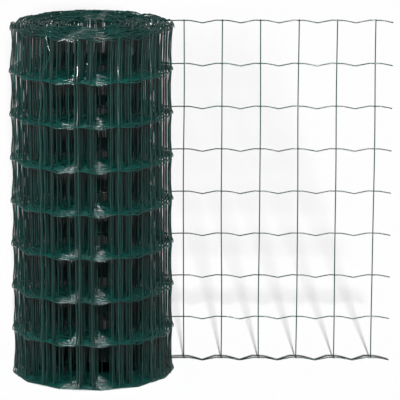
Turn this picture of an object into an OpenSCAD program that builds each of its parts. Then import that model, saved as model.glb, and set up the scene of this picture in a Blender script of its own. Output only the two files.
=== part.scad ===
// Roll of plastic-coated welded wire fencing, standing on its end, with its free end pulled out flat.
// Crimped line wires run along the fence, and straight cross wires are welded to their outer side.
// Origin: the roll's axis at floor level. +Z runs up the axis and +X along the free end.

/* [Wire] */
// Diameter of the coated wire
wire_d = 2; // [1.6:0.1:2.6]
// Sides of the wire's section on the free end
wire_sides = 6; // [5:1:8]
// Bevel at the cut tips of the wires
tip_bevel = 0.4; // [0.2:0.05:0.6]

/* [Mesh] */
// Number of line wires from the bottom edge to the top edge
line_wires = 9; // [4:1:13]
// Spacing of the line wires
row_pitch = 76.2; // [50:0.1:100]
// Spacing of the cross wires along the fence
column_pitch = 67; // [50:1:100]
// Depth of the crimp in a line wire, midway between two cross wires
crimp_depth = 4.5; // [2:0.1:6]
// Share of the column pitch that one crimp takes up
crimp_share = 0.72; // [0.4:0.02:0.9]
// Depth that two wires sink into each other at a weld
weld_sink = 0.4; // [0.1:0.05:0.8]
// Length of a cross wire beyond the centre of the outermost line wires
cross_stub = 1.5; // [1:0.1:3]

/* [Roll] */
// Diameter of the roll over the crimps of its outermost turn
roll_d = 287; // [220:1:360]
// Diameter of the bore down the middle of the roll
bore_d = 70; // [40:1:120]
// Slack between two turns, beyond the thickness of the wire
turn_slack = 0.2; // [0:0.1:4]
// Width of the gap between two turns where it shows on the roll's ends
turn_gap_w = 1; // [0.4:0.1:1.4]
// Distance that the crimps stand proud of the cross wires on the roll's outside
crimp_stand = 2.5; // [1:0.1:4]
// Depth to which the gap between two turns shows on the roll's ends
turn_gap_depth = 5; // [2:0.5:10]
// Height of the innermost turn above the outermost at the top end
crown_rise = 7; // [0:0.5:15]

/* [Free end] */
// Number of cross wires on the flat length
flat_columns = 6; // [1:1:10]
// Distance of the flat length's line wires behind the roll's axis
flat_offset = 55; // [0:1:90]
// Radius of the bend where the fence leaves the roll
leave_bend_r = 15; // [10:1:60]
// Angle over which the last lap lies on the roll before it leaves
lap_angle = 4; // [3:1:60]
// Clearance between the last lap and the roll
lap_gap = 0.3; // [0.1:0.1:1]
// Distance from the end of the bend to the first cross wire of the flat length
flat_lead = 17; // [3:1:40]
// Length of the line wires past the last cross wire, where the fence was cut
cut_tail = 30; // [10:1:45]

/* [Hidden] */
coat_green = [0.06, 0.26, 0.21];
turned_fn = 128;
rings_per_column = 8;
crimp_sharpness = 1.2;

roll_r = roll_d / 2;
bore_r = bore_d / 2;
wall_r = roll_r - crimp_stand;
turn_pitch = wire_d + turn_slack;
turn_land = turn_pitch - turn_gap_w;
turn_count = floor((wall_r - bore_r + turn_gap_w) / turn_pitch);
band_h = crimp_depth + wire_d;

// Height of line wire i where it passes a cross wire: the lowest crimps touch the floor
function row_z(i) = crimp_depth + wire_d / 2 + i * row_pitch;
cross_bottom = row_z(0) - cross_stub;
cross_top = row_z(line_wires - 1) + cross_stub;

// Height of the roll's top end at radius r: it rises evenly from the outermost turn to the bore
function crown_z(r) = cross_top + crown_rise * (wall_r - r) / (wall_r - bore_r);

// The free end's line wires in plan: an arc round the roll, a bend the other way, then straight along +X
lap_r = roll_r + lap_gap + wire_d / 2;
leave_angle = asin((flat_offset + leave_bend_r) / (lap_r + leave_bend_r));
bend_angle = 90 - leave_angle;
bend_x = (lap_r + leave_bend_r) * cos(leave_angle);
bend_y = (lap_r + leave_bend_r) * sin(leave_angle);
lap_length = lap_r * lap_angle * PI / 180;
bend_length = leave_bend_r * bend_angle * PI / 180;
flat_from = lap_length + bend_length;
first_cross = flat_from + flat_lead;
last_cross = first_cross + (flat_columns - 1) * column_pitch;
free_length = last_cross + cut_tail;
curved_columns = floor((first_cross - wire_d) / column_pitch);

// Direction of the path in plan, in degrees from +X, at length s along it
function heading(s) =
    s < lap_length ? leave_angle - 90 + lap_angle * (1 - s / lap_length) :
    s < flat_from ? -bend_angle * (flat_from - s) / bend_length :
    0;

// Point of the path in plan at length s along it
function plan_at(s) =
    s < lap_length ? lap_r * [-sin(heading(s)), cos(heading(s))] :
    s < flat_from ? [bend_x, bend_y] + leave_bend_r * [sin(heading(s)), -cos(heading(s))] :
    [bend_x + s - flat_from, flat_offset];

// Drop of a crimped line wire at length s: a rounded V midway between cross wires, straight beside them
function column_share(s) = (s - first_cross) / column_pitch - floor((s - first_cross) / column_pitch);
function crimp_drop(s) =
    crimp_depth * pow(max(0, 1 - abs(column_share(s) - 0.5) / (crimp_share / 2)), crimp_sharpness);

// Lengths at which a line wire gets a ring of points: both ends and evenly between cross wires
ring_step = column_pitch / rings_per_column;
ring_from = first_cross - floor(first_cross / ring_step) * ring_step;
ring_room = ring_step / 4;
skin_to = free_length - wire_d / 2;
ring_lengths = [
    if (ring_from > ring_room) 0,
    for (s = [ring_from : ring_step : skin_to - ring_room]) s,
    skin_to
];

// One ring of a wire's section at point p, square to a horizontal heading
function section_ring(p, direction, d) = [
    for (k = [0 : wire_sides - 1])
        let (turn = 360 * (k + 0.5) / wire_sides)
        p + d / 2 * [-sin(direction) * cos(turn), cos(direction) * cos(turn), sin(turn)]
];

// Centre of the line wire at height z at length s along its path
function line_point(s, z) = [plan_at(s)[0], plan_at(s)[1], z - crimp_drop(s)];

// Closed skin over a list of rings that all have wire_sides points
module skin(rings) {
    n = wire_sides;
    last = len(rings) - 1;
    sides = [
        for (i = [0 : last - 1], k = [0 : n - 1])
            let (a = i * n + k, b = i * n + (k + 1) % n)
            each [[a, b + n, b], [a, a + n, b + n]]
    ];
    first_cap = [for (k = [0 : n - 1]) k];
    last_cap = [for (k = [n - 1 : -1 : 0]) last * n + k];
    polyhedron([for (ring = rings) each ring], concat([first_cap], sides, [last_cap]), convexity = 10);
}

// A straight length of wire along +Z, with bevelled ends where it was cut
module cut_wire(length) {
    hull() {
        cylinder(d = wire_d - 2 * tip_bevel, h = length, $fn = wire_sides);
        translate([0, 0, tip_bevel])
            cylinder(d = wire_d, h = length - 2 * tip_bevel, $fn = wire_sides);
    }
}

// One crimped line wire from the start of the last lap to its cut tip
module line_wire(z) {
    skin([for (s = ring_lengths) section_ring(line_point(s, z), heading(s), wire_d)]);
    translate(line_point(skin_to, z))
        rotate([0, 90, 0])
            translate([0, 0, skin_to - free_length])
                cut_wire(2 * (free_length - skin_to));
}

// One straight cross wire, welded to the outer side of the line wires at length s
module cross_wire(s) {
    outward = wire_d - weld_sink;
    translate([
        plan_at(s)[0] - outward * sin(heading(s)),
        plan_at(s)[1] + outward * cos(heading(s)),
        cross_bottom
    ])
        rotate(heading(s))
            cut_wire(cross_top - cross_bottom);
}

// Half section of the roll: the wound wall, a band of crimps at each line wire, and the gaps between turns
module roll_section() {
    difference() {
        union() {
            polygon([[bore_r, 0], [wall_r, 0], [wall_r, crown_z(wall_r)], [bore_r, crown_z(bore_r)]]);
            for (i = [0 : line_wires - 1])
                crimp_band(row_z(i));
        }
        for (i = [0 : turn_count - 2])
            turn_gap(bore_r + turn_land + turn_gap_w / 2 + i * turn_pitch);
    }
}

// The band that the crimps of one line wire sweep out round the roll, with its two edges rounded
module crimp_band(z) {
    round_r = crimp_stand / 2;
    edge_r = roll_r - round_r;
    low = z - band_h + wire_d / 2;
    translate([bore_r, low])
        square([edge_r - bore_r, band_h]);
    translate([bore_r, low + round_r])
        square([roll_r - bore_r, band_h - 2 * round_r]);
    for (edge_z = [low + round_r, low + band_h - round_r])
        translate([edge_r, edge_z])
            circle(r = round_r);
}

// The gap between two turns, whose middle is at radius r, open at both ends of the roll
module turn_gap(r) {
    for (end_z = [0, crown_z(r)])
        translate([r, end_z])
            square([turn_gap_w, 2 * turn_gap_depth], center = true);
}

// The wound part of the fence
module wound_roll() {
    color(coat_green)
        rotate_extrude($fn = turned_fn)
            roll_section();
}

// The last lap, the bend and the flat length of the fence
module free_end() {
    color(coat_green)
        union() {
            for (i = [0 : line_wires - 1])
                line_wire(row_z(i));
            for (k = [-curved_columns : flat_columns - 1])
                cross_wire(first_cross + k * column_pitch);
        }
}

wound_roll();
free_end();
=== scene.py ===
"""Dressed scene of a standing roll of plastic-coated welded wire fencing.

The fence is one length of mesh. In plan it follows a single path: a spiral of close turns, a short
bend where it leaves the roll, and a flat length. Each line wire follows that path at its own height,
with a crimp midway between two cross wires, and each cross wire stands upright at one place on it.
Lengths are in millimetres until a mesh is made, because the frame is in metres.
"""

import logging
import math
from dataclasses import dataclass, field
from enum import Enum

import bpy
import numpy as np
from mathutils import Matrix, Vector


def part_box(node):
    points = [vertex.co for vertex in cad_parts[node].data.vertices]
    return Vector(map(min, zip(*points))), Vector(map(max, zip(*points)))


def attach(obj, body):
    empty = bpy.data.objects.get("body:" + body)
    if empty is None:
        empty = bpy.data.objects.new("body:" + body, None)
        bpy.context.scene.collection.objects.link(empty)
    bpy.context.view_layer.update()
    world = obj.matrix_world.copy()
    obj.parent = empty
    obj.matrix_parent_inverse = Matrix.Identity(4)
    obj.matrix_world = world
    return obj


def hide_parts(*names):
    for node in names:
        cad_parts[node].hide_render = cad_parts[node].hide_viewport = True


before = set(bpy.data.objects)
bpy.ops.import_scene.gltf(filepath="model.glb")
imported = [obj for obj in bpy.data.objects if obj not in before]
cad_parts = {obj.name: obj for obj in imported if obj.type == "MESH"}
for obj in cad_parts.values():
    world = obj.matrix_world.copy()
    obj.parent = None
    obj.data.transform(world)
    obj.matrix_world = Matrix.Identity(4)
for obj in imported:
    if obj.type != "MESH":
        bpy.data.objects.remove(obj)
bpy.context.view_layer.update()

MM = 0.001
SEED = 4032
UP = np.array([0.0, 0.0, 1.0])
DRIFT_SIZES = np.array([0.5, 0.3, 0.2])
DRIFT_WAVES = np.array([1.0, 0.61, 0.37])

log = logging.getLogger("fence_roll")


class Part(Enum):
    """CAD nodes that the dressed pieces stand for."""

    WOUND_ROLL = "wound_roll"
    FREE_END = "free_end"


@dataclass(frozen=True)
class LampSetting:
    """Place and size of one lamp.

    Attributes:
        azimuth: Angle from the camera's side, in degrees.
        elevation: Angle above the floor, in degrees.
        power: Power in watts.
        width: Width in metres.
        height: Height in metres.
        matt: Whether the lamp lights the coat's own colour.
        gloss: Whether the lamp shows in the coat's gloss.
    """

    azimuth: float
    elevation: float
    power: float
    width: float
    height: float
    matt: bool = True
    gloss: bool = True


class Lamp(Enum):
    """The lamps on the fence: soft ones in front and behind, and two low ones for the crimps' glints."""

    TOP = LampSetting(-16.0, 68.0, 10.0, 0.25, 0.15)
    LEFT = LampSetting(-28.0, 27.0, 34.0, 0.3, 0.25)
    RIGHT = LampSetting(14.0, 27.0, 30.0, 0.3, 0.25)
    BACK_LEFT = LampSetting(-135.0, 30.0, 30.0, 0.5, 0.4, gloss=False)
    BACK_RIGHT = LampSetting(135.0, 30.0, 30.0, 0.5, 0.4, gloss=False)
    GLINT_LEFT = LampSetting(-36.0, 7.0, 180.0, 1.0, 0.12, matt=False)
    GLINT_RIGHT = LampSetting(15.0, 7.0, 140.0, 1.0, 0.12, matt=False)


def drift(length: np.ndarray, wavelength: float, phases: np.ndarray) -> np.ndarray:
    """Smooth wandering curve between about -1 and 1: three sine waves of falling size and wavelength.

    Args:
        length: Where to read the curve, in millimetres.
        wavelength: Longest of the three wavelengths, in millimetres.
        phases: Phase of each wave in radians, with the three waves on the last axis.

    Returns:
        The curve's value at each length, for each set of phases.
    """
    turns = math.tau * length[..., None] / (wavelength * DRIFT_WAVES)
    return (DRIFT_SIZES * np.sin(turns + phases)).sum(axis=-1)


@dataclass(frozen=True)
class WeldedMesh:
    """Sizes of the welded mesh, in millimetres."""

    wire_d: float = 2.0
    line_wires: int = 9
    row_pitch: float = 76.2
    column_pitch: float = 67.0
    lowest_row_z: float = 5.5
    weld_sink: float = 0.4
    cross_stub: float = 1.5
    tip_bevel: float = 0.4
    crimp_tip: float = 0.48
    crimp_half_width: float = 0.36
    crimp_power: float = 1.2
    shoulder_rise: float = 0.08
    shoulder_at: float = 0.86
    shoulder_width: float = 0.08

    @property
    def row_z(self) -> np.ndarray:
        """Height of each line wire where it passes a cross wire."""
        return self.lowest_row_z + self.row_pitch * np.arange(self.line_wires)

    @property
    def cross_offset(self) -> float:
        """Distance from a line wire's centre to that of a cross wire welded to its outer side."""
        return self.wire_d - self.weld_sink

    def crimp(self, share: np.ndarray) -> np.ndarray:
        """Drop of a crimped line wire, as a share of the crimp's depth.

        One minus the distance from the crimp's tip, in half widths, raised to a power: a V with softly
        curved flanks. A low hump after it lifts the shoulder before the next cross wire.

        Args:
            share: Place between two cross wires, from 0 to 1.

        Returns:
            Drop from 0 beside a cross wire to 1 at the tip.
        """
        flank = 1.0 - np.abs(share - self.crimp_tip) / self.crimp_half_width
        shoulder = np.exp(-(((share - self.shoulder_at) / self.shoulder_width) ** 2))
        return np.maximum(flank, 0.0) ** self.crimp_power - self.shoulder_rise * shoulder


@dataclass(frozen=True)
class FencePath:
    """Plan of the fence, in millimetres, by length from the place where it leaves the roll.

    Negative lengths lie on the spiral, and positive ones on the bend and the flat length. Seen from
    above, the fence runs clockwise outwards along the spiral, then bends the other way into +X.
    """

    mesh: WeldedMesh
    tip_x: float
    # The spiral, the bend and the flat length
    leave_r: float = 140.9
    inner_r: float = 38.0
    turn_pitch: float = 2.2
    bend_r: float = 15.0
    flat_y: float = 55.0
    cut_tail: float = 30.0
    flat_columns: int = 6
    bend_crimp: float = 0.2
    # Uneven turns inside the roll
    bore_squeeze: float = 3.5
    squeeze_power: int = 3
    loose_slope: float = 4.0
    loose_start: float = 0.6
    turn_wander: float = 0.5
    wander_wave: float = 690.0
    wander_phases: tuple[float, ...] = (0.4, 2.1, 4.4)
    bunch_turns: float = 2.6
    bunch_size: float = 0.55
    # Where the columns of the turns lie over each other
    front_share: float = -0.255
    outer_nest: tuple[float, ...] = (0.0, -0.12, 0.30, 0.02, -0.07, 0.36, -0.03)
    aligned_share: float = 0.6
    aligned_spread: float = 0.05
    nest_seed: int = 84
    back_from: float = 0.888
    back_share: float = 0.3789
    edge_nest: tuple[float, ...] = (
        0.0, 0.06, -0.05, 0.08, -0.08, -0.14, -0.1, -0.16, -0.18, 0.3, -0.06, -0.19, -0.2, -0.12, 0.22, -0.07
    )
    table_points: int = 4096

    @property
    def leave_angle(self) -> float:
        """Angle round the axis at which the fence leaves the spiral."""
        return math.asin((self.flat_y + self.bend_r) / (self.leave_r + self.bend_r))

    @property
    def bend_angle(self) -> float:
        """Angle through which the bend turns the fence."""
        return math.pi / 2.0 - self.leave_angle

    @property
    def bend_length(self) -> float:
        """Length of the bend."""
        return self.bend_r * self.bend_angle

    @property
    def bend_centre(self) -> np.ndarray:
        """Centre of the bend in plan."""
        reach = self.leave_r + self.bend_r
        return reach * np.array([math.cos(self.leave_angle), math.sin(self.leave_angle)])

    @property
    def end(self) -> float:
        """Length at the cut tips of the line wires."""
        return self.bend_length + self.tip_x - self.bend_centre[0]

    @property
    def start(self) -> float:
        """Length, below zero, at the innermost end of the spiral."""
        return -math.pi * (self.leave_r**2 - self.inner_r**2) / self.turn_pitch

    @property
    def first_column(self) -> float:
        """Length at the flat length's first cross wire."""
        return self.end - self.cut_tail - (self.flat_columns - 1) * self.mesh.column_pitch

    def column_at(self, length: np.ndarray) -> np.ndarray:
        """Column number, with fractions between cross wires, where 0 is the flat length's first.

        Length over pitch, plus a slow correction on the spiral: where a turn passes the front and the back
        of the roll, and for the outer turns its two edges, its columns have a set place.

        Args:
            length: Lengths along the path.

        Returns:
            Column number at each length.
        """
        turns = int((self.leave_r - self.inner_r) / self.turn_pitch)
        back_turn = 0.25 - self.leave_angle / math.tau
        whole, outer = np.arange(turns), 1 + np.arange(len(self.edge_nest))
        turn = back_turn + np.concatenate([whole, whole + 0.5, outer + 0.25, outer + 0.75])
        nested = np.concatenate(
            [self.back_shares(turns), self.front_shares(turns), self.edge_nest, self.edge_nest]
        )
        inwards = np.argsort(-turn)
        radius = self.leave_r - self.turn_pitch * turn[inwards]
        passed = math.pi * (radius**2 - self.leave_r**2) / self.turn_pitch
        plain = (passed - self.first_column) / self.mesh.column_pitch
        drawn = np.round(plain - nested[inwards]) + nested[inwards] - plain
        shift = np.interp(length, np.append(passed, 0.0), np.append(drawn, 0.0))
        return (length - self.first_column) / self.mesh.column_pitch + shift

    def front_shares(self, turns: int) -> np.ndarray:
        """Where each turn's columns pass the front.

        The outer turns have set places. Most of the others are in line with the last turn, some anywhere.

        Args:
            turns: Number of turns.

        Returns:
            Share of a column for each turn, from the outermost inwards.
        """
        rng = np.random.default_rng(self.nest_seed)
        loose = rng.uniform(0.0, 1.0, turns)
        close = rng.normal(0.0, self.aligned_spread, turns)
        shares = np.where(rng.uniform(0.0, 1.0, turns) < self.aligned_share, close, loose)
        shares[: len(self.outer_nest)] = self.outer_nest
        return self.front_share + shares

    def back_shares(self, turns: int) -> np.ndarray:
        """Where each turn's columns pass the back: a fixed step per turn, which spreads them evenly."""
        return self.back_from + self.back_share * np.arange(turns)

    def crimp_left(self, column: np.ndarray) -> np.ndarray:
        """Share of a crimp's depth that is left: all of it, but little where the bend pulls it straight."""
        return np.where(np.floor(column) == -1.0, self.bend_crimp, 1.0)

    def length_at(self, column: np.ndarray) -> np.ndarray:
        """Length along the path at each column number, read back from a table of column_at.

        Args:
            column: Column numbers.

        Returns:
            Length at each of them.
        """
        margin = self.mesh.column_pitch
        lengths = np.linspace(self.start - margin, self.end + margin, self.table_points)
        return np.interp(column, self.column_at(lengths), lengths)

    def column_near(self, length: float) -> float:
        """Column number at a single length."""
        return float(self.column_at(np.array([length]))[0])

    def depth_at(self, length: np.ndarray) -> np.ndarray:
        """Depth into the roll: 0 on the outermost turn, 1 on the innermost.

        On a spiral of constant pitch the squared radius falls evenly with length.
        """
        squared = self.leave_r**2 + self.turn_pitch * np.minimum(length, 0.0) / math.pi
        return (self.leave_r - np.sqrt(squared)) / (self.leave_r - self.inner_r)

    def locate(self, length: np.ndarray) -> tuple[np.ndarray, np.ndarray]:
        """Plan of the path.

        The spiral's radius falls by one pitch per turn, with a slow wander, a sine by the turn that draws
        the turns together in bunches with gaps between them and, near the bore, an oval squeeze. The bend
        is an arc and the flat length a straight line.

        Args:
            length: Lengths along the path, shape (n,).

        Returns:
            Points and unit vectors towards the outer side, each of shape (n, 2).
        """
        depth = self.depth_at(length)
        radius = self.leave_r - depth * (self.leave_r - self.inner_r)
        angle = self.leave_angle + math.tau * (self.leave_r - radius) / self.turn_pitch
        inner = np.clip(depth * self.loose_slope - self.loose_start, 0.0, 1.0)
        wander = drift(length, self.wander_wave, np.array(self.wander_phases)) * inner
        bunch = np.sin((self.leave_angle - angle) / self.bunch_turns) * inner
        squeeze = depth**self.squeeze_power * np.cos(2.0 * angle)
        radius = radius + self.turn_wander * wander + self.bore_squeeze * squeeze
        radius = radius + self.bunch_size * self.turn_pitch * bunch
        outward = np.stack([np.cos(angle), np.sin(angle)], axis=-1)
        spiral = radius[:, None] * outward

        heading = np.clip(length / self.bend_r, 0.0, self.bend_angle) - self.bend_angle
        left = np.stack([-np.sin(heading), np.cos(heading)], axis=-1)
        straight = np.maximum(length - self.bend_length, 0.0)
        leaving = self.bend_centre - self.bend_r * left
        leaving[:, 0] += straight

        wound = (length < 0.0)[:, None]
        return np.where(wound, spiral, leaving), np.where(wound, outward, left)


@dataclass
class WireBundle:
    """Round wires of equal point count, swept into one mesh.

    Attributes:
        centres: Centre points in millimetres, shape (wires, points, 3).
        side: Vectors that a section's first axis leans to, broadcast against centres.
        radius: Section radius in millimetres, broadcast against (wires, points).
        tone: Shade of each wire, from about -1 for deep green to 1 for green, shape (wires,): random, and on
            the roll also painted shade and painted light by place.
    """

    centres: np.ndarray
    side: np.ndarray
    radius: np.ndarray
    tone: np.ndarray

    def sweep(self, sides: int) -> tuple[np.ndarray, np.ndarray, np.ndarray]:
        """Carries a circle along every wire.

        Each section is square to the wire: its axes are the side vector made square to the tangent, and
        their cross product. Points lie evenly round the circle.

        Args:
            sides: Points round a section.

        Returns:
            Vertices in metres (n, 3), quads (m, 4) and end caps (2 * wires, sides).
        """
        wires, points, _ = self.centres.shape
        tangent = np.gradient(self.centres, axis=1)
        tangent /= np.linalg.norm(tangent, axis=-1, keepdims=True)
        first = self.side - (self.side * tangent).sum(axis=-1, keepdims=True) * tangent
        first /= np.linalg.norm(first, axis=-1, keepdims=True)
        second = np.cross(tangent, first)
        turn = math.tau * np.arange(sides) / sides
        ring = np.cos(turn)[:, None] * second[:, :, None, :] + np.sin(turn)[:, None] * first[:, :, None, :]
        radius = np.broadcast_to(self.radius, (wires, points))[:, :, None, None]
        vertices = (self.centres[:, :, None, :] + radius * ring).reshape(-1, 3) * MM

        index = np.arange(wires * points * sides).reshape(wires, points, sides)
        near, far = index[:, :-1], index[:, 1:]
        quads = np.stack([near, far, np.roll(far, -1, axis=2), np.roll(near, -1, axis=2)], axis=-1)
        caps = np.concatenate([index[:, 0], index[:, -1, ::-1]])
        return vertices, quads.reshape(-1, 4), caps

    def tones(self, sides: int) -> np.ndarray:
        """Shade of each vertex, in the order in which sweep gives them."""
        return np.repeat(self.tone, self.centres.shape[1] * sides)


def make_piece(
    name: str, bundles: list[WireBundle], sides: int, finish: bpy.types.Material
) -> bpy.types.Object:
    """Joins wire bundles into one mesh object at the origin.

    Args:
        name: Name of the piece.
        bundles: Bundles that the piece is made of.
        sides: Points round each wire's section.
        finish: Material of the piece.

    Returns:
        The linked object, with each wire's shade in its point attribute "tone".
    """
    vertices, quads, caps, tones, base = [], [], [], [], 0
    for bundle in bundles:
        swept, faces, ends = bundle.sweep(sides)
        vertices.append(swept)
        quads.append(faces + base)
        caps.append(ends + base)
        tones.append(bundle.tones(sides))
        base += len(swept)
    vertices = np.concatenate(vertices)
    quads = np.concatenate(quads)
    caps = np.concatenate(caps)
    corners = np.concatenate([quads.ravel(), caps.ravel()])
    starts = np.concatenate([4 * np.arange(len(quads)), quads.size + sides * np.arange(len(caps))])

    mesh = bpy.data.meshes.new(name)
    mesh.vertices.add(len(vertices))
    mesh.vertices.foreach_set("co", vertices.astype(np.float32).ravel())
    mesh.loops.add(len(corners))
    mesh.loops.foreach_set("vertex_index", corners.astype(np.int32))
    mesh.polygons.add(len(starts))
    mesh.polygons.foreach_set("loop_start", starts.astype(np.int32))
    mesh.polygons.foreach_set("use_smooth", np.arange(len(starts)) < len(quads))
    mesh.update(calc_edges=True)
    tone = mesh.attributes.new("tone", "FLOAT", "POINT")
    tone.data.foreach_set("value", np.concatenate(tones).astype(np.float32))
    mesh.materials.append(finish)
    piece = bpy.data.objects.new(name, mesh)
    bpy.context.scene.collection.objects.link(piece)
    triangles = 2 * len(quads) + (sides - 2) * len(caps)
    log.info("%s: %d vertices, %d triangles", name, len(vertices), triangles)
    return piece


@dataclass(frozen=True)
class CoatFinish:
    """Glossy moss-green plastic coat on steel wire."""

    name: str = "green_plastic_coat"
    green: tuple[float, float, float] = (0.0034, 0.086, 0.071)
    deep_green: tuple[float, float, float] = (0.0014, 0.036, 0.030)
    roughness: float = 0.12
    smoother_by: float = 0.06
    rougher_by: float = 0.08
    specular: float = 0.30
    tone_weight: float = 0.4
    patch_scale: float = 38.0
    patch_detail: float = 3.0
    peel_scale: float = 900.0
    peel_strength: float = 0.12
    peel_depth: float = 0.0002

    def material(self) -> bpy.types.Material:
        """Makes the coat's material: two greens mixed by wire and by patch, with a faint orange peel.

        Returns:
            The node material.
        """
        made = bpy.data.materials.new(self.name)
        made.use_nodes = True
        nodes, links = made.node_tree.nodes, made.node_tree.links
        coat = nodes["Principled BSDF"]
        coat.inputs["Specular IOR Level"].default_value = self.specular
        place = nodes.new("ShaderNodeTexCoord")

        patch = nodes.new("ShaderNodeTexNoise")
        patch.inputs["Scale"].default_value = self.patch_scale
        patch.inputs["Detail"].default_value = self.patch_detail
        links.new(place.outputs["Object"], patch.inputs["Vector"])

        # Each wire's shade: random tone, and on the roll also painted shade and painted light by place
        wire = nodes.new("ShaderNodeAttribute")
        wire.attribute_name = "tone"
        shade = nodes.new("ShaderNodeMath")
        shade.operation = "MULTIPLY_ADD"
        shade.use_clamp = True
        shade.inputs[1].default_value = self.tone_weight
        links.new(wire.outputs["Fac"], shade.inputs[0])
        links.new(patch.outputs["Fac"], shade.inputs[2])

        mix = nodes.new("ShaderNodeMix")
        mix.data_type = "RGBA"
        mix.inputs["A"].default_value = (*self.deep_green, 1.0)
        mix.inputs["B"].default_value = (*self.green, 1.0)
        links.new(shade.outputs["Value"], mix.inputs["Factor"])
        links.new(mix.outputs["Result"], coat.inputs["Base Color"])

        gloss = nodes.new("ShaderNodeMapRange")
        gloss.inputs["To Min"].default_value = self.roughness - self.smoother_by
        gloss.inputs["To Max"].default_value = self.roughness + self.rougher_by
        links.new(patch.outputs["Fac"], gloss.inputs["Value"])
        links.new(gloss.outputs["Result"], coat.inputs["Roughness"])

        peel = nodes.new("ShaderNodeTexNoise")
        peel.inputs["Scale"].default_value = self.peel_scale
        links.new(place.outputs["Object"], peel.inputs["Vector"])
        bump = nodes.new("ShaderNodeBump")
        bump.inputs["Strength"].default_value = self.peel_strength
        bump.inputs["Distance"].default_value = self.peel_depth
        links.new(peel.outputs["Fac"], bump.inputs["Height"])
        links.new(bump.outputs["Normal"], coat.inputs["Normal"])
        return made


@dataclass
class FenceMaker:
    """What both lengths of the fence share: the mesh, its path, its finish and the seeded variation."""

    mesh: WeldedMesh
    path: FencePath
    finish: bpy.types.Material
    rng: np.random.Generator = field(default_factory=lambda: np.random.default_rng(SEED))

    def fit(self, piece: bpy.types.Object, part: Part) -> bpy.types.Object:
        """Lets a piece ride on the only body and stand for its CAD node.

        Args:
            piece: The piece.
            part: CAD node that it stands for.

        Returns:
            The piece.
        """
        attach(piece, "root")
        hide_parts(part.value)
        return piece


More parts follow.
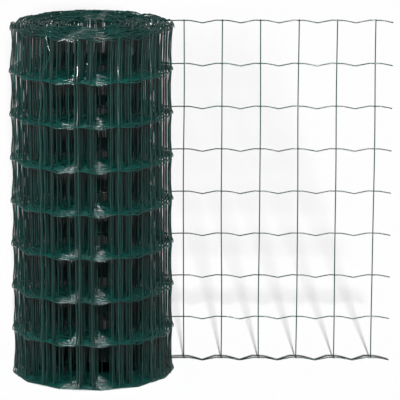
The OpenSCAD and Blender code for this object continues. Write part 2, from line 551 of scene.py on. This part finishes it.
@dataclass
class WoundRoll(FenceMaker):
    """The wound part of the fence."""

    # Where the free end takes over
    split: float = -10.0
    leave_ease: float = 60.0
    # Crimps of the line wires
    crimp_depth: float = 4.6
    least_crimp: float = 0.8
    bottom_crimp: float = 0.35
    top_crimp: float = 1.7
    # Heights of the line wires
    bottom_sink: float = 2.3
    crown_rise: float = 0.5
    turn_step: float = 2.6
    step_level: float = 0.25
    step_size: float = 1.1
    step_range: tuple[float, float] = (-0.8, 1.0)
    step_wave: float = 410.0
    step_phases: tuple[float, ...] = (1.0, 3.3, 5.2)
    step_slope: float = 8.0
    back_rise: float = 4.0
    floor_share: float = 0.1
    row_jitter: float = 0.8
    row_wave: float = 230.0
    # Outward swing and slack of the outer turns
    swing: float = 0.45
    outer_swing: float = 0.7
    last_turn_reach: float = 1.6
    slack_turns: tuple[float, ...] = (0.0, 0.4, 0.93, 1.06, 1.4, 1.93, 2.1, 2.5, 2.93, 3.2, 3.6, 5.0)
    slack_sizes: tuple[float, ...] = (0.0, 1.0, 1.5, 0.4, 1.0, 1.4, 0.7, 0.5, 1.2, 0.9, 0.8, 0.0)
    top_lean: float = 2.5
    # Cross wires
    low_stub: float = 0.6
    wobble: float = 1.1
    wobble_wave: float = 560.0
    inner_wobble: float = 0.5
    inner_sink: float = 0.4
    bow: float = 2.8
    bow_turns: float = 6.0
    bow_reach: float = 1.2
    kinked_column: int = -8
    kink_z: tuple[float, ...] = (470.0, 527.0, 548.0, 585.0, 615.0)
    kink_sizes: tuple[float, ...] = (0.0, 5.0, 6.5, 22.0, 14.0)
    # Sections of the meshes
    sides: int = 8
    column_shares: tuple[float, ...] = (0.0, 0.13, 0.25, 0.36, 0.43, 0.48, 0.53, 0.61, 0.72, 0.86)
    rings_per_gap: int = 3
    outer_columns: int = 18
    outer_rings_per_gap: int = 10
    outer_sides: int = 12
    # Shades of the wires: random, with painted shade on the top edge and the inner cross wires,
    # and painted light on the other line wires and the outer cross wires
    tone_spread: float = 0.4
    top_painted_shade: float = -0.7
    band_painted_light: float = 0.6
    inner_painted_shade: float = -0.6
    outer_painted_light: float = 0.5

    def lift(self, length: np.ndarray, height: np.ndarray) -> np.ndarray:
        """Rise of the wound strip above its even rows.

        It rises evenly inwards, steps up and down in a slow drift and leans up towards the back, in full at
        the top and little at the floor. The lowest line wire sinks, because the weight flattens its crimps.

        Args:
            length: Lengths along the path, shape (n,).
            height: Heights on the unrolled fence, broadcast against length.

        Returns:
            Rise in millimetres.
        """
        depth = self.path.depth_at(length)
        step = self.step_level + self.step_size * drift(length, self.step_wave, np.array(self.step_phases))
        step = np.clip(step, *self.step_range)
        grown = np.clip(depth * self.step_slope, 0.0, 1.0)
        points, _ = self.path.locate(length.ravel())
        lean = 0.5 + 0.5 * points[:, 1].reshape(length.shape) / self.path.leave_r
        full = self.crown_rise * depth + self.turn_step * step * grown
        rows = self.mesh.row_z
        level = np.clip((height - rows[0]) / (rows[-1] - rows[0]), 0.0, 1.0)
        sink = self.bottom_sink * np.clip(1.0 - (height - rows[0]) / self.mesh.row_pitch, 0.0, 1.0)
        rise = (full + self.back_rise * lean) * (self.floor_share + (1.0 - self.floor_share) * level)
        return self.eased(length - self.split) * (rise - sink)

    def lean(self, length: np.ndarray, height: np.ndarray) -> np.ndarray:
        """Sideways shift of the wound strip, which leans towards the free end above its last row but one."""
        over = np.clip((height - self.mesh.row_z[-2]) / self.mesh.row_pitch, 0.0, 1.0)
        return self.top_lean * over * self.eased(length - self.split)

    def eased(self, length: np.ndarray) -> np.ndarray:
        """Ramp from 0 where the fence leaves the roll to 1 a short way in."""
        return np.clip(-length / self.leave_ease, 0.0, 1.0)

    def turns_in(self, length: np.ndarray) -> np.ndarray:
        """Number of turns between a place and the outer end of the spiral."""
        return self.path.depth_at(length) * (self.path.leave_r - self.path.inner_r) / self.path.turn_pitch

    def outer_turn(self, length: np.ndarray) -> np.ndarray:
        """Share by which a place belongs to the loose last turn: 1 on it, fading to 0 a turn further in."""
        return np.clip(self.last_turn_reach - self.turns_in(length), 0.0, 1.0) * self.eased(length)

    def radial_swing(self, length: np.ndarray) -> np.ndarray:
        """Outward offset of the line wires.

        A cosine with its crests at the crimps, larger on the last turn, plus the slack of the outer turns.

        Args:
            length: Lengths along the path.

        Returns:
            Offset in millimetres.
        """
        share = self.path.column_at(length) - self.mesh.crimp_tip
        outer = self.outer_turn(length)
        size = self.swing * self.eased(length) + self.outer_swing * outer
        slack = np.interp(self.turns_in(length), self.slack_turns, self.slack_sizes)
        return slack + size * np.cos(math.tau * share)

    def strip(self, length: np.ndarray) -> tuple[np.ndarray, np.ndarray]:
        """Plan points of the line wires and their outward vectors, with the radial swing."""
        points, outward = self.path.locate(length)
        return points + outward * self.radial_swing(length)[:, None], outward

    def line_wires(self) -> np.ndarray:
        """Centres of the line wires.

        The height is the row's, plus the lift, minus the crimp's shape times a depth that varies a
        little from crimp to crimp, plus a slow jitter of each row.

        Returns:
            Centre points, shape (rows, points, 3).
        """
        first = math.ceil(self.path.column_near(self.path.start))
        columns = np.arange(first, 1)[:, None] + np.array(self.column_shares)
        length = self.path.length_at(columns.ravel())
        length = np.append(length[length < self.split], self.split)
        points, _ = self.strip(length)
        column = self.path.column_at(length)
        cell = np.floor(column).astype(int) - first
        rows = self.mesh.line_wires
        depth = self.crimp_depth * self.rng.uniform(self.least_crimp, 1.0, (rows, cell.max() + 1))
        depth[0] *= self.bottom_crimp
        depth[-1] *= self.top_crimp
        phases = self.rng.uniform(0.0, math.tau, (rows, 1, 3))
        jitter = 0.5 + 0.5 * drift(np.broadcast_to(length, (rows, len(length))), self.row_wave, phases)
        row = self.mesh.row_z[:, None]
        height = row + self.lift(length, row) + self.row_jitter * jitter
        height = height - depth[:, cell] * self.mesh.crimp(column % 1.0) * self.path.crimp_left(column)
        plan = np.broadcast_to(points, (rows, *points.shape)).copy()
        plan[..., 0] += self.lean(length, row)
        return np.concatenate([plan, height[..., None]], axis=-1)

    def cross_wires(self, columns: np.ndarray, rings_per_gap: int) -> WireBundle:
        """Cross wires on the outer side of the line wires.

        Each wanders a little along the fence. Those of the outer turns bow inwards between line wires, and
        one of the last turn is kinked under the top edge. The inner ones are darker, a painted shade inside
        the roll, and those of the last turn lighter, painted light.

        Args:
            columns: Column numbers of the wires.
            rings_per_gap: Sections between two line wires.

        Returns:
            The bundle of cross wires.
        """
        length = self.path.length_at(columns.astype(float))
        points, outward = self.strip(length)
        outer = self.outer_turn(length)
        points = points + outward * (self.mesh.cross_offset - self.inner_sink * (1.0 - outer))[:, None]
        along = np.stack([-outward[:, 1], outward[:, 0]], axis=-1)
        height, radius = cross_wire_stations(self.mesh, rings_per_gap, self.low_stub)
        phases = self.rng.uniform(0.0, math.tau, (len(length), 1, 3))
        wander = drift(np.broadcast_to(height, (len(length), len(height))), self.wobble_wave, phases)
        wander = wander * (self.inner_wobble + (self.wobble - self.inner_wobble) * outer)[:, None]
        kink = np.interp(height, self.kink_z, self.kink_sizes)
        wander = wander + np.where(columns[:, None] == self.kinked_column, kink, 0.0)
        sag = np.sin(math.pi * (height - self.mesh.row_z[0]) / self.mesh.row_pitch) ** 2
        plan = points[:, None, :] + along[:, None, :] * wander[..., None]
        bow = self.bow * np.clip(self.bow_reach - self.turns_in(length) / self.bow_turns, 0.0, 1.0)
        bow = bow * self.eased(length)
        plan = plan - outward[:, None, :] * (bow[:, None] * sag)[..., None]
        plan[..., 0] += self.lean(length[:, None], height)
        tall = height + self.lift(length[:, None], height)
        side = np.concatenate([outward, np.zeros((len(length), 1))], axis=-1)[:, None, :]
        centres = np.concatenate([plan, tall[..., None]], axis=-1)
        # Painted shade on the inner cross wires and painted light on those of the last turn, plus random tone
        tone = self.inner_painted_shade + (self.outer_painted_light - self.inner_painted_shade) * outer
        tone = tone + self.tone_spread * self.rng.uniform(-1.0, 1.0, len(length))
        return WireBundle(centres, side, radius, tone)

    def build(self) -> list[bpy.types.Object]:
        """Makes the line wires in three groups of rows, and the inner and outer cross wires.

        The top edge is darker than the other line wires, a painted shade, and the other line wires are
        lighter, painted light.

        Returns:
            The pieces.
        """
        radius = np.array(self.mesh.wire_d / 2.0)
        lines = self.line_wires()
        # Painted light on the line wires and painted shade on the top edge, plus random tone below
        tones = np.full(self.mesh.line_wires, self.band_painted_light)
        tones[-1] = self.top_painted_shade
        pieces = []
        groups = ("low", "middle", "top")
        shares = zip(groups, np.split(lines, len(groups)), np.split(tones, len(groups)))
        for group, rows, tone in shares:
            tone = tone + self.tone_spread * self.rng.uniform(-1.0, 1.0, len(rows))
            bundle = WireBundle(rows, UP, radius, tone)
            pieces.append(make_piece(f"wound_line_wires_{group}", [bundle], self.sides, self.finish))
        first = math.ceil(self.path.column_near(self.path.start))
        end = math.floor(self.path.column_near(self.split)) + 1
        loose = end - self.outer_columns
        inner = self.cross_wires(np.arange(first, loose), self.rings_per_gap)
        outer = self.cross_wires(np.arange(loose, end), self.outer_rings_per_gap)
        pieces.append(make_piece("inner_cross_wires", [inner], self.sides, self.finish))
        pieces.append(make_piece("outer_cross_wires", [outer], self.outer_sides, self.finish))
        return [self.fit(piece, Part.WOUND_ROLL) for piece in pieces]


@dataclass
class FreeEnd(FenceMaker):
    """The bend and the flat length of the fence."""

    split: float = -10.0
    crimp_depth: float = 4.5
    weld_swell: float = 0.2
    weld_reach: float = 1.6
    wobble: float = 0.9
    wobble_wave: float = 700.0
    lean: float = 1.6
    sides: int = 12
    rings_per_column: int = 28
    rings_per_gap: int = 12

    def line_wires(self) -> WireBundle:
        """Line wires from the split to their cut tips, swollen where they are welded.

        Returns:
            The bundle of line wires.
        """
        step = self.mesh.column_pitch / self.rings_per_column
        length = np.append(np.arange(self.split, self.path.end - step / 2.0, step), self.path.end)
        length = np.insert(length, -1, self.path.end - self.mesh.tip_bevel)
        points, _ = self.path.locate(length)
        column = self.path.column_at(length)
        drop = self.crimp_depth * self.mesh.crimp(column % 1.0) * self.path.crimp_left(column)
        height = self.mesh.row_z[:, None] - drop
        rows = self.mesh.line_wires
        centres = np.concatenate([np.broadcast_to(points, (rows, *points.shape)), height[..., None]], axis=-1)
        distance = (column - np.round(column)) * self.mesh.column_pitch
        swell = 1.0 + self.weld_swell * np.exp(-((distance / self.weld_reach) ** 2))
        radius = self.mesh.wire_d / 2.0 * swell
        radius[-1] -= self.mesh.tip_bevel
        return WireBundle(centres, UP, radius, self.rng.uniform(-1.0, 1.0, rows))

    def cross_wires(self) -> WireBundle:
        """Cross wires of the flat length, each a little bowed and leaning.

        Returns:
            The bundle of cross wires.
        """
        column = np.arange(self.path.flat_columns).astype(float)
        length = self.path.length_at(column)
        points, outward = self.path.locate(length)
        points = points + outward * self.mesh.cross_offset
        height, radius = cross_wire_stations(self.mesh, self.rings_per_gap, self.mesh.cross_stub)
        phases = self.rng.uniform(0.0, math.tau, (len(length), 1, 3))
        heights = np.broadcast_to(height, (len(length), len(height)))
        sway = self.wobble * drift(heights, self.wobble_wave, phases)
        sway = sway + self.lean * (height - height[-1]) / (height[-1] - height[0])
        plan = np.broadcast_to(points[:, None, :], (*sway.shape, 2)).copy()
        plan[..., 0] += sway
        centres = np.concatenate([plan, heights[..., None]], axis=-1)
        side = np.concatenate([outward, np.zeros((len(length), 1))], axis=-1)[:, None, :]
        return WireBundle(centres, side, radius, self.rng.uniform(-1.0, 1.0, len(length)))

    def build(self) -> list[bpy.types.Object]:
        """Makes the free end as one piece of welded wires.

        Returns:
            The piece, in a list.
        """
        bundles = [self.line_wires(), self.cross_wires()]
        piece = make_piece("free_end_wires", bundles, self.sides, self.finish)
        return [self.fit(piece, Part.FREE_END)]


def cross_wire_stations(
    mesh: WeldedMesh, rings_per_gap: int, low_stub: float
) -> tuple[np.ndarray, np.ndarray]:
    """Heights and radii of a cross wire's sections, with a bevelled section at both cut ends.

    Args:
        mesh: Sizes of the mesh.
        rings_per_gap: Sections between two line wires.
        low_stub: Length below the centre of the lowest line wire.

    Returns:
        Heights and radii, each of shape (n,).
    """
    rows = mesh.row_z
    inner = np.linspace(rows[0], rows[-1], rings_per_gap * (mesh.line_wires - 1) + 1)
    low, high = rows[0] - low_stub, rows[-1] + mesh.cross_stub
    height = np.concatenate([[low, low + mesh.tip_bevel], inner, [high - mesh.tip_bevel, high]])
    radius = np.full(len(height), mesh.wire_d / 2.0)
    radius[[0, -1]] -= mesh.tip_bevel
    return height, radius


@dataclass
class Studio:
    """White studio: a pale floor, lamps and the camera at the photo's angle."""

    fence_only: bpy.types.Collection
    floor_only: bpy.types.Collection
    camera_x: float = 0.1882
    camera_distance: float = 5.0
    camera_height: float = 1.430
    camera_pitch: float = 0.221
    lens: float = 264.0
    sensor: float = 36.0
    view_reach: float = 100.0
    ambient: float = 0.035
    backdrop_grey: float = 0.3
    floor_size: float = 30.0
    floor_white: float = 0.85
    floor_bounce: float = 0.04
    # Radii between which the painted shadow under the roll fades out
    shade_r: tuple[float, float] = (0.118, 0.14)
    floor_light: float = 20.6
    floor_light_azimuth: float = 2.7
    floor_light_elevation: float = 9.9
    floor_light_spread: float = 2.8
    lamp_distance: float = 2.6
    aim: tuple[float, float, float] = (0.1, 0.0, 0.32)

    def build(self) -> None:
        """Makes the whole studio."""
        self.make_world()
        self.make_floor()
        for lamp in Lamp:
            self.make_lamp(lamp)
        self.make_floor_lamp()
        self.make_camera()

    def make_world(self) -> None:
        """Pale world that the camera and reflections see, with a lower level of light on the object."""
        world = bpy.data.worlds.new("white_studio")
        bpy.context.scene.world = world
        world.use_nodes = True
        nodes, links = world.node_tree.nodes, world.node_tree.links
        backdrop = nodes["Background"]
        backdrop.inputs["Color"].default_value = (1.0, 1.0, 1.0, 1.0)
        seen = self.seen_share(nodes, links)
        level = nodes.new("ShaderNodeMapRange")
        level.inputs["To Min"].default_value = self.ambient
        level.inputs["To Max"].default_value = self.backdrop_grey
        links.new(seen, level.inputs["Value"])
        links.new(level.outputs["Result"], backdrop.inputs["Strength"])

    def seen_share(self, nodes: bpy.types.Nodes, links: bpy.types.NodeLinks) -> bpy.types.NodeSocket:
        """Adds what tells the rays that show the background from those that light the object.

        Args:
            nodes: Nodes of the material or world.
            links: Its links.

        Returns:
            Socket that is 1 for rays from the camera, a reflection or a transmission, and else 0.
        """
        rays = nodes.new("ShaderNodeLightPath")
        seen = rays.outputs["Is Camera Ray"]
        for kind in ("Is Glossy Ray", "Is Transmission Ray"):
            either = nodes.new("ShaderNodeMath")
            either.operation = "MAXIMUM"
            links.new(seen, either.inputs[0])
            links.new(rays.outputs[kind], either.inputs[1])
            seen = either.outputs["Value"]
        return seen

    def make_floor(self) -> None:
        """Pale floor with a painted shadow under the roll: white to the camera and reflections, but it gives
        little light.
        """
        half = self.floor_size / 2.0
        mesh = bpy.data.meshes.new("floor")
        corners = [(-half, -half, 0.0), (half, -half, 0.0), (half, half, 0.0), (-half, half, 0.0)]
        mesh.from_pydata(corners, [], [(0, 1, 2, 3)])
        floor = bpy.data.objects.new("floor", mesh)
        bpy.context.scene.collection.objects.link(floor)
        self.floor_only.objects.link(floor)
        paint = bpy.data.materials.new("floor_white")
        paint.use_nodes = True
        nodes, links = paint.node_tree.nodes, paint.node_tree.links
        nodes.clear()
        matt = nodes.new("ShaderNodeBsdfDiffuse")
        grey = nodes.new("ShaderNodeMapRange")
        grey.inputs["To Min"].default_value = self.floor_bounce
        grey.inputs["To Max"].default_value = self.floor_white
        out = nodes.new("ShaderNodeOutputMaterial")
        links.new(self.seen_share(nodes, links), grey.inputs["Value"])
        # Painted shadow: the floor's colour darkens towards the roll's axis, under the roll
        place = nodes.new("ShaderNodeTexCoord")
        reach = nodes.new("ShaderNodeVectorMath")
        reach.operation = "LENGTH"
        links.new(place.outputs["Object"], reach.inputs[0])
        open_share = nodes.new("ShaderNodeMapRange")
        open_share.inputs["From Min"].default_value = self.shade_r[0]
        open_share.inputs["From Max"].default_value = self.shade_r[1]
        links.new(reach.outputs["Value"], open_share.inputs["Value"])
        shaded = nodes.new("ShaderNodeMath")
        shaded.operation = "MULTIPLY"
        links.new(grey.outputs["Result"], shaded.inputs[0])
        links.new(open_share.outputs["Result"], shaded.inputs[1])
        links.new(shaded.outputs["Value"], matt.inputs["Color"])
        links.new(matt.outputs["BSDF"], out.inputs["Surface"])
        mesh.materials.append(paint)

    def place_lamp(
        self, light: bpy.types.Light, azimuth: float, elevation: float, lit: bpy.types.Collection
    ) -> bpy.types.Object:
        """Puts a lamp in its place, looking at the roll, where the camera doesn't see it.

        Args:
            light: The lamp's light.
            azimuth: Angle from the camera's side, in degrees.
            elevation: Angle above the floor, in degrees.
            lit: What the lamp lights.

        Returns:
            The lamp's object.
        """
        turn, rise = math.radians(azimuth), math.radians(elevation)
        offset = Vector((math.sin(turn) * math.cos(rise), -math.cos(turn) * math.cos(rise), math.sin(rise)))
        lamp = bpy.data.objects.new(light.name, light)
        lamp.location = Vector(self.aim) + self.lamp_distance * offset
        lamp.rotation_euler = (-offset).to_track_quat("-Z", "Y").to_euler()
        lamp.visible_camera = False
        lamp.light_linking.receiver_collection = lit
        bpy.context.scene.collection.objects.link(lamp)
        return lamp

    def make_lamp(self, lamp: Lamp) -> None:
        """Adds one lamp that lights the fence alone.

        Args:
            lamp: Which lamp.
        """
        setting = lamp.value
        light = bpy.data.lights.new(lamp.name.lower(), "AREA")
        light.shape = "RECTANGLE"
        light.energy = setting.power
        light.size = setting.width
        light.size_y = setting.height
        placed = self.place_lamp(light, setting.azimuth, setting.elevation, self.fence_only)
        placed.visible_diffuse = setting.matt
        placed.visible_glossy = setting.gloss

    def make_floor_lamp(self) -> None:
        """Adds the light on the floor, from near the camera, so that the shadow falls behind the roll."""
        light = bpy.data.lights.new("floor_light", "SUN")
        light.energy = self.floor_light
        light.angle = math.radians(self.floor_light_spread)
        self.place_lamp(light, self.floor_light_azimuth, self.floor_light_elevation, self.floor_only)

    def make_camera(self) -> None:
        """Adds the camera, in front of the roll and looking slightly down along +Y."""
        data = bpy.data.cameras.new("camera")
        data.lens = self.lens
        data.sensor_width = self.sensor
        data.clip_end = self.view_reach
        camera = bpy.data.objects.new("camera", data)
        camera.location = (self.camera_x, -self.camera_distance, self.camera_height)
        camera.rotation_euler = (math.pi / 2.0 - self.camera_pitch, 0.0, 0.0)
        bpy.context.scene.collection.objects.link(camera)
        bpy.context.scene.camera = camera


def main() -> None:
    """Builds the fence and its studio."""
    logging.basicConfig(level=logging.INFO, format="%(message)s")
    mesh = WeldedMesh()
    path = FencePath(mesh, tip_x=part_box(Part.FREE_END.value)[1].x / MM - mesh.tip_bevel)
    finish = CoatFinish().material()
    fence_only = bpy.data.collections.new("fence_only")
    for part in (WoundRoll(mesh, path, finish), FreeEnd(mesh, path, finish)):
        for piece in part.build():
            fence_only.objects.link(piece)
            log.info("%s rides on root", piece.name)
    Studio(fence_only, bpy.data.collections.new("floor_only")).build()
    bpy.context.scene.view_settings.view_transform = "Standard"


if __name__ == "__main__":
    main()
